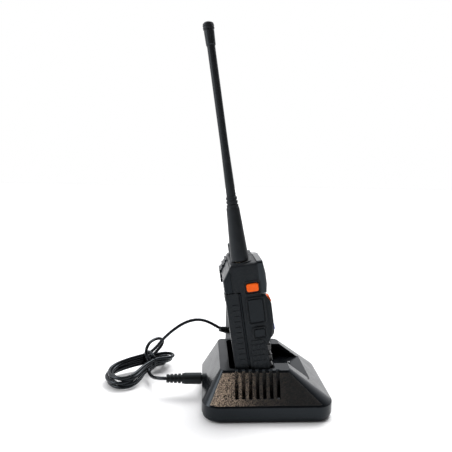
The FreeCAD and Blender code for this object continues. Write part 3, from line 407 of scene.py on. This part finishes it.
def panel_mask(surface, x, y, z):
    """1 inside the trapezoid on either side of the cradle, and 0 elsewhere."""
    facing = surface.add("ShaderNodeSeparateXYZ")
    surface.link(surface.add("ShaderNodeNewGeometry").outputs["True Normal"], facing.inputs["Vector"])
    sideways = surface.math("ABSOLUTE", facing.outputs[0])
    height = (PANEL_HIGH - PANEL_LOW) * MM
    rise = surface.math("DIVIDE", surface.math("SUBTRACT", z, PANEL_LOW * MM), height)
    in_from_back = surface.math("MULTIPLY", rise, (PANEL_BACK_LOW - PANEL_BACK_HIGH) * MM)
    in_from_front = surface.math("MULTIPLY", rise, (PANEL_FRONT_HIGH - PANEL_FRONT_LOW) * MM)
    back = surface.math("SUBTRACT", PANEL_BACK_LOW * MM, in_from_back)
    front = surface.math("ADD", PANEL_FRONT_LOW * MM, in_from_front)
    tests = (
        surface.math("GREATER_THAN", z, PANEL_LOW * MM),
        surface.math("LESS_THAN", z, PANEL_HIGH * MM),
        surface.math("LESS_THAN", y, back),
        surface.math("GREATER_THAN", y, front),
        surface.math("GREATER_THAN", surface.math("ABSOLUTE", x), PANEL_OUTSIDE * MM),
    )
    mask = surface.math("GREATER_THAN", sideways, PANEL_FACING)
    for test in tests:
        mask = surface.math("MULTIPLY", mask, test)
    return mask


def cradle_black():
    """Satin black, with glitter on the panel of each side whose pale flecks are partly painted glints of
    light, thinning out towards the front as a painted highlight.
    """
    colour = (0.004, 0.0046, 0.0056)
    surface = Surface("cradle_black", colour, 0.2, level=0.24)
    surface.set("Specular Tint", COOL)
    surface.soften(0.5)
    split = surface.add("ShaderNodeSeparateXYZ")
    surface.link(surface.place, split.inputs["Vector"])
    x, y, z = split.outputs
    panel = panel_mask(surface, x, y, z)
    _, sparkle = surface.cells(0.42)
    spread = surface.add("ShaderNodeSeparateColor")
    surface.link(sparkle, spread.inputs["Color"])
    glint = surface.between(spread.outputs[0], 0.0, 1.0, 0.35, 0.9)
    length = (PANEL_BACK_LOW + HIGHLIGHT_FADE_END) * MM
    along = surface.math("DIVIDE", surface.math("ADD", y, HIGHLIGHT_FADE_END * MM), length)
    # painted highlight: the flecks are densest at the back of the panel and fade out towards its front
    highlight_fade = surface.ramp(along, (0.0, 0.02), (0.4, 0.1), (0.97, 1.0))
    shown = surface.math("MULTIPLY", glint, highlight_fade)
    # the pale warm flecks are glitter, brightened to stand for its glints of light: partly a painted
    # highlight
    warm = surface.mix(shown, (0.008, 0.0075, 0.0072), (0.75, 0.57, 0.42))
    mottle = surface.noise(12.0, 4.0)
    plain = surface.between(mottle, scaled(colour, 0.85), scaled(colour, 1.25))
    surface.colour(surface.mix(panel, plain, warm))
    satin = surface.between(mottle, 0.17, 0.26)
    surface.rough(surface.mix(panel, satin, (0.42, 0.42, 0.42)))
    surface.bump(surface.math("MULTIPLY", spread.outputs[1], panel), 0.12)
    surface.bump(surface.noise(0.3, 2.0), 0.003)
    return surface.material


def case_black():
    """The radio's case: dark moulded plastic with a coarse grain of pale flecks, which are partly painted
    glints, and paler sharp edges, which are partly wear and partly a painted edge highlight.
    """
    colour = (0.007, 0.0078, 0.009)
    surface = Surface("case_black", colour, 0.4, level=0.2)
    surface.set("Specular Tint", COOL)
    surface.soften(0.35)
    _, sparkle = surface.cells(0.34)
    spread = surface.add("ShaderNodeSeparateColor")
    surface.link(sparkle, spread.inputs["Color"])
    fleck_and_glint = surface.between(spread.outputs[0], 0.0, 1.0, 0.72, 0.98)
    mottle = surface.noise(9.0, 4.0)
    plain = surface.between(mottle, scaled(colour, 0.8), scaled(colour, 1.3))
    # pale flecks in the grain: partly real flecks, partly painted glints of light
    flecks_and_glints = surface.mix(surface.math("MULTIPLY", fleck_and_glint, 0.4), plain, (0.06, 0.055, 0.05))
    # paler sharp edges: partly wear, partly a painted edge highlight
    pale_edge = surface.edges(0.35)
    surface.colour(surface.mix(surface.math("MULTIPLY", pale_edge, EDGE_PALENESS), flecks_and_glints, (0.03, 0.031, 0.033)))
    surface.rough(surface.between(mottle, 0.36, 0.46))
    surface.bump(spread.outputs[1], 0.06)
    return surface.material


def cord_black():
    """A smooth moulded jacket, a little glossy, with faint scuffs."""
    colour = (0.003, 0.0032, 0.0038)
    surface = Surface("cord_black", colour, 0.24, level=0.34)
    surface.set("Specular Tint", COOL)
    scuff = surface.noise(4.0, 5.0)
    surface.colour(surface.between(scuff, scaled(colour, 0.9), scaled(colour, 1.7), 0.35, 0.75))
    surface.rough(surface.between(scuff, 0.18, 0.3, end=0.75))
    surface.bump(surface.noise(0.8, 3.0), 0.006)
    return surface.material


def make_materials():
    return {
        "case_black": case_black(),
        "chassis_black": moulded("chassis_black", (0.005, 0.0062, 0.008), 0.3, 0.5, 0.01, 0.4, 0.17),
        "bezel_black": moulded("bezel_black", (0.006, 0.0068, 0.008), 0.2, 0.3, 0.004, 0.4, 0.35),
        "window_clear": clear("window_clear", (0.55, 0.6, 0.6)),
        "display": display(),
        "circuit_board": circuit_board(),
        "speaker_metal": metal("speaker_metal", (0.5, 0.5, 0.5), 0.35),
        "silicone_grey": rubber("silicone_grey", (0.12, 0.12, 0.13)),
        "connector_brass": metal("connector_brass", (0.83, 0.68, 0.42), 0.22, (1.0, 1.0, 3.0)),
        "component_metal": metal("component_metal", (0.6, 0.6, 0.58), 0.3),
        "lens_clear": clear("lens_clear", (0.85, 0.88, 0.9)),
        "screw_steel": metal("screw_steel", (0.3, 0.3, 0.31), 0.35),
        "button_orange": glossy("button_orange", (1.0, 0.13, 0.004), 0.4, level=0.2, coat=0.0),
        "button_blue": glossy("button_blue", (0.02, 0.07, 0.5), 0.25),
        "button_black": rubber("button_black", (0.006, 0.0066, 0.0075), 0.45),
        "key_black": glossy("key_black", (0.02, 0.02, 0.021), 0.24),
        "knob_black": moulded("knob_black", (0.007, 0.0075, 0.0085), 0.42),
        "antenna_rubber": rubber("antenna_rubber", (0.009, 0.0092, 0.0098), 0.42),
        "cell_wrap": glossy("cell_wrap", (0.08, 0.2, 0.45)),
        "contact_gold": metal("contact_gold", (0.9, 0.68, 0.3), 0.2),
        "cover_rubber": rubber("cover_rubber", (0.009, 0.0095, 0.0105), 0.5),
        "cradle_black": cradle_black(),
        "foot_rubber": rubber("foot_rubber", (0.04, 0.04, 0.04), 0.7),
        "plug_black": rubber("plug_black", (0.009, 0.0095, 0.009), 0.34),
        "adapter_black": moulded("adapter_black", (0.007, 0.008, 0.0095), 0.36, 0.3, 0.012, 0.5),
        "blade_nickel": metal("blade_nickel", (0.8, 0.79, 0.76), 0.2),
        "cord_black": cord_black(),
    }


def dress_nodes(materials):
    for entry in frame["record"]["subparts"]:
        node = NODES[entry["node"]]
        node.data.materials.clear()
        node.data.materials.append(materials[entry["material_slot"]])


# ---------------------------------------------------------------- the supply cord

CORD = 3.0 * MM
CORD_ROUNDNESS = 5
CORD_SMOOTHNESS = 8
CORD_ORDER = 3
PLUG_TIP = (0.0, 83.1, 15.3)
RELIEF_TIP = (58.9, 36.2, 39.0)
TIE = (42.8, 106.0)             # the tie's middle, seen from above
TIE_HEIGHT = 11.2
ALONG = (-0.607, 0.794)         # along the hank, towards its open loops
ACROSS = (0.794, 0.607)
# each loop: its reach, half its width (it comes out about a tenth narrower), how far it swings round,
# and its end's height
OPEN_LOOPS = ((40, 19.5, -10, 1.9), (38, 18.5, -13, 4.4), (42, 18.5, -8, 6.2), (37, 17.5, -14, 8.6),
              (40, 17.5, -11, 10.4))
SHORT_LOOPS = ((23, 7.5, -16, 3.6), (29, 8, -6, 6.6), (25, 6.5, 6, 9.4), (27, 7.0, 16, 13.4))
LOOP_STEPS = 7
PINCH = 2.4                     # half the width of a loop where it leaves the tie
FULLNESS = 1.5                  # makes up for most of what the powers below take off a loop's width
# the powers by which a loop's reach, width, swing and height grow on its way out of the tie
REACH_POWER = 0.85
WIDTH_POWER = 0.7
SWING_POWER = 0.5
HEIGHT_POWER = 0.8
LOWEST_LAYER = 6.6
LAYER = 2.1
LOOP_RISE = 1.0
# the cord's turns round the tie: their points, and how they start, shift and grow
WRAP_STEPS = 12                 # points in one turn
WRAP_POINTS = 27
WRAP_START = 0.16               # radians
WRAP_OUT = 3
WRAP_SHIFT = 7
WRAP_RADIUS = 7.3
WRAP_GROWTH = 2.0
TO_TIE = (PLUG_TIP, (0.8, 88.0, 15.0), (5.5, 92.0, 13.0), (13.0, 95.5, 9.6), (21.0, 99.0, 7.2),
          (28.5, 102.0, 6.4))
# the high loop over the tie and the way out of the hank: along, across and height
HIGH_LOOP = ((4.0, -6.5, 19.0), (3.5, -4.5, 25.0), (-1.0, -2.0, 29.5), (-8.0, 0.5, 31.0), (-16.0, 2.5, 30.0),
             (-20.5, 3.0, 26.0), (-17.5, 1.5, 22.0), (-10.5, -0.5, 18.5), (-3.0, -2.2, 15.0))
OUT_OF_HANK = (-4.0, 2.4, 17.0)
TO_ADAPTER = ((49.5, 97.2, 23.0), (51.5, 90.0, 31.6), (53.0, 79.5, 40.5), (54.5, 68.0, 47.0),
              (56.0, 57.0, 48.8), (57.6, 46.5, 45.8), RELIEF_TIP)


def hank_point(along, across, height):
    """A point given along and across the hank from its tie."""
    x = TIE[0] + ALONG[0] * along + ACROSS[0] * across
    y = TIE[1] + ALONG[1] * along + ACROSS[1] * across
    return x, y, height


def loop_points(loop, side, low, high):
    """One loop out of the tie to a side (1 or -1) and back to it."""
    reach, half, swing, end = loop
    points = []
    for step in range(LOOP_STEPS):
        part = (step + 0.5) / LOOP_STEPS
        out, over = math.cos(math.pi * (part - 0.5)), math.sin(math.pi * (part - 0.5))
        along = reach * out ** REACH_POWER
        across = over * (PINCH + (half * FULLNESS - PINCH) * out ** WIDTH_POWER)
        angle = math.radians(swing) * out ** SWING_POWER
        turned = along * math.cos(angle) - across * math.sin(angle)
        across = along * math.sin(angle) + across * math.cos(angle)
        height = low + (high - low) * part
        height += (end - height) * out ** HEIGHT_POWER
        points.append(hank_point(side * turned, side * across, height))
    return points


def wrap_points():
    """The cord's own turns round the tied middle of the hank."""
    points = []
    for step in range(WRAP_POINTS):
        angle = 2 * math.pi * step / WRAP_STEPS - WRAP_START
        along = WRAP_OUT - WRAP_SHIFT * math.sin(math.pi * step / WRAP_POINTS)
        radius = WRAP_RADIUS + WRAP_GROWTH * step / WRAP_POINTS
        points.append(hank_point(along, -radius * math.cos(angle), TIE_HEIGHT + radius * math.sin(angle)))
    return points


def cord_points():
    """The cord's route from the plug, through the hank, to the adapter, in millimetres."""
    points = [*TO_TIE, *wrap_points()]
    points += [hank_point(*point) for point in HIGH_LOOP]
    for number, loop in enumerate(OPEN_LOOPS):
        low = LOWEST_LAYER + LAYER * number
        points += loop_points(loop, 1, low, low + LOOP_RISE)
        if number < len(SHORT_LOOPS):
            points += loop_points(SHORT_LOOPS[number], -1, low + LOOP_RISE, low + LAYER)
    return [*points, hank_point(*OUT_OF_HANK), *TO_ADAPTER]


def add_tube(name, kind, points, radius, roundness):
    """A round tube along one spline of a kind, through or near points in metres."""
    data = bpy.data.curves.new(name, "CURVE")
    data.dimensions = "3D"
    data.bevel_depth = radius
    data.bevel_resolution = roundness
    data.use_fill_caps = True
    spline = data.splines.new(kind)
    spline.points.add(len(points) - 1)
    for spot, point in zip(spline.points, points):
        spot.co = (*point, 1.0)
    tube = bpy.data.objects.new(name, data)
    scene.collection.objects.link(tube)
    return tube, spline


def add_cord(materials):
    points = [tuple(part * MM for part in point) for point in cord_points()]
    cord, spline = add_tube("supply_cord", "NURBS", points, CORD / 2, CORD_ROUNDNESS)
    cord.data.resolution_u = CORD_SMOOTHNESS
    spline.order_u = CORD_ORDER
    spline.use_endpoint_u = True
    cord.data.materials.append(materials["cord_black"])
    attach(cord, "cradle")
    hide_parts("cord_plug_lead", "cord_hank", "cord_adapter_lead")


# ---------------------------------------------------------------- raised outlines on the radio

# the radio's own up, which it lifts along, and the way its front faces
UP = Vector(next(joint["axis"] for joint in frame["record"]["behaviour"]["joints"]
                 if joint["name"] == "radio_lift")).normalized()
FORWARD = Vector((0.0, -UP.z, UP.y))
RIM_STEPS = 6
RIM_RADIUS = 0.5
RIM_ROUNDNESS = 3
# each outline: its button, how far the case stands out there, half width, half height, corner
RIMS = (
    ("ptt_rim", "ptt_button", 0.9, 7.1, 10.5, 2.6),
    ("moni_rim", "moni_button", 0.7, 5.6, 4.6, 2.6),
    ("call_rim", "call_button", 0.0, 6.6, 5.1, 2.2),
)
# the arch round the grip, and the talk button's middle: up from the radio's foot, forward of its back
GRIP_HALF = 6.3
GRIP_TOP = 47.2
GRIP_LOW = 12.0
GRIP_FORWARD = 20.2
GRIP_CORNER = 3.6
TALK_FORWARD = 22.7
TALK_UP = 72.4


def button_middle(node):
    low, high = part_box(node)
    return (Vector(low) + Vector(high)) / 2


def corner_arc(across, up, corner, start):
    """A quarter turn round a corner's centre, as (across, up) points in millimetres."""
    points = []
    for step in range(RIM_STEPS + 1):
        angle = math.radians(start + 90 * step / RIM_STEPS)
        points.append((across + corner * math.cos(angle), up + corner * math.sin(angle)))
    return points


def rounded_outline(half_wide, half_tall, corner):
    wide, tall = half_wide - corner, half_tall - corner
    return (corner_arc(wide, tall, corner, 0) + corner_arc(-wide, tall, corner, 90)
            + corner_arc(-wide, -tall, corner, 180) + corner_arc(wide, -tall, corner, 270))


def add_rim(name, middle, stands_out, outline, closed, material):
    """A thin raised bead on the near side, along an outline about a middle point."""
    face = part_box("battery_case")[0][0] - stands_out * MM
    places = [middle + FORWARD * across * MM + UP * up * MM for across, up in outline]
    points = [(face, place.y, place.z) for place in places]
    rim, spline = add_tube(name, "POLY", points, RIM_RADIUS * MM, RIM_ROUNDNESS)
    spline.use_cyclic_u = closed
    rim.data.materials.append(material)
    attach(rim, "radio")


def radio_foot():
    """The foot of the radio's back, found from where the talk button is on the case."""
    return button_middle("ptt_button") - FORWARD * TALK_FORWARD * MM - UP * TALK_UP * MM


def add_rims(materials):
    for name, node, stands_out, half_wide, half_tall, corner in RIMS:
        outline = rounded_outline(half_wide, half_tall, corner)
        add_rim(name, button_middle(node), stands_out, outline, True, materials["case_black"])
    top, side = GRIP_TOP - GRIP_CORNER, GRIP_HALF - GRIP_CORNER
    arch = [(GRIP_HALF, GRIP_LOW)] + corner_arc(side, top, GRIP_CORNER, 0)
    arch += corner_arc(-side, top, GRIP_CORNER, 90) + [(-GRIP_HALF, GRIP_LOW)]
    arch = [(across + GRIP_FORWARD, up) for across, up in arch]
    add_rim("grip_rim", radio_foot(), 0.0, arch, False, materials["case_black"])


# ---------------------------------------------------------------- everything

add_camera()
add_studio()
MATERIALS = make_materials()
dress_nodes(MATERIALS)
add_cord(MATERIALS)
add_rims(MATERIALS)
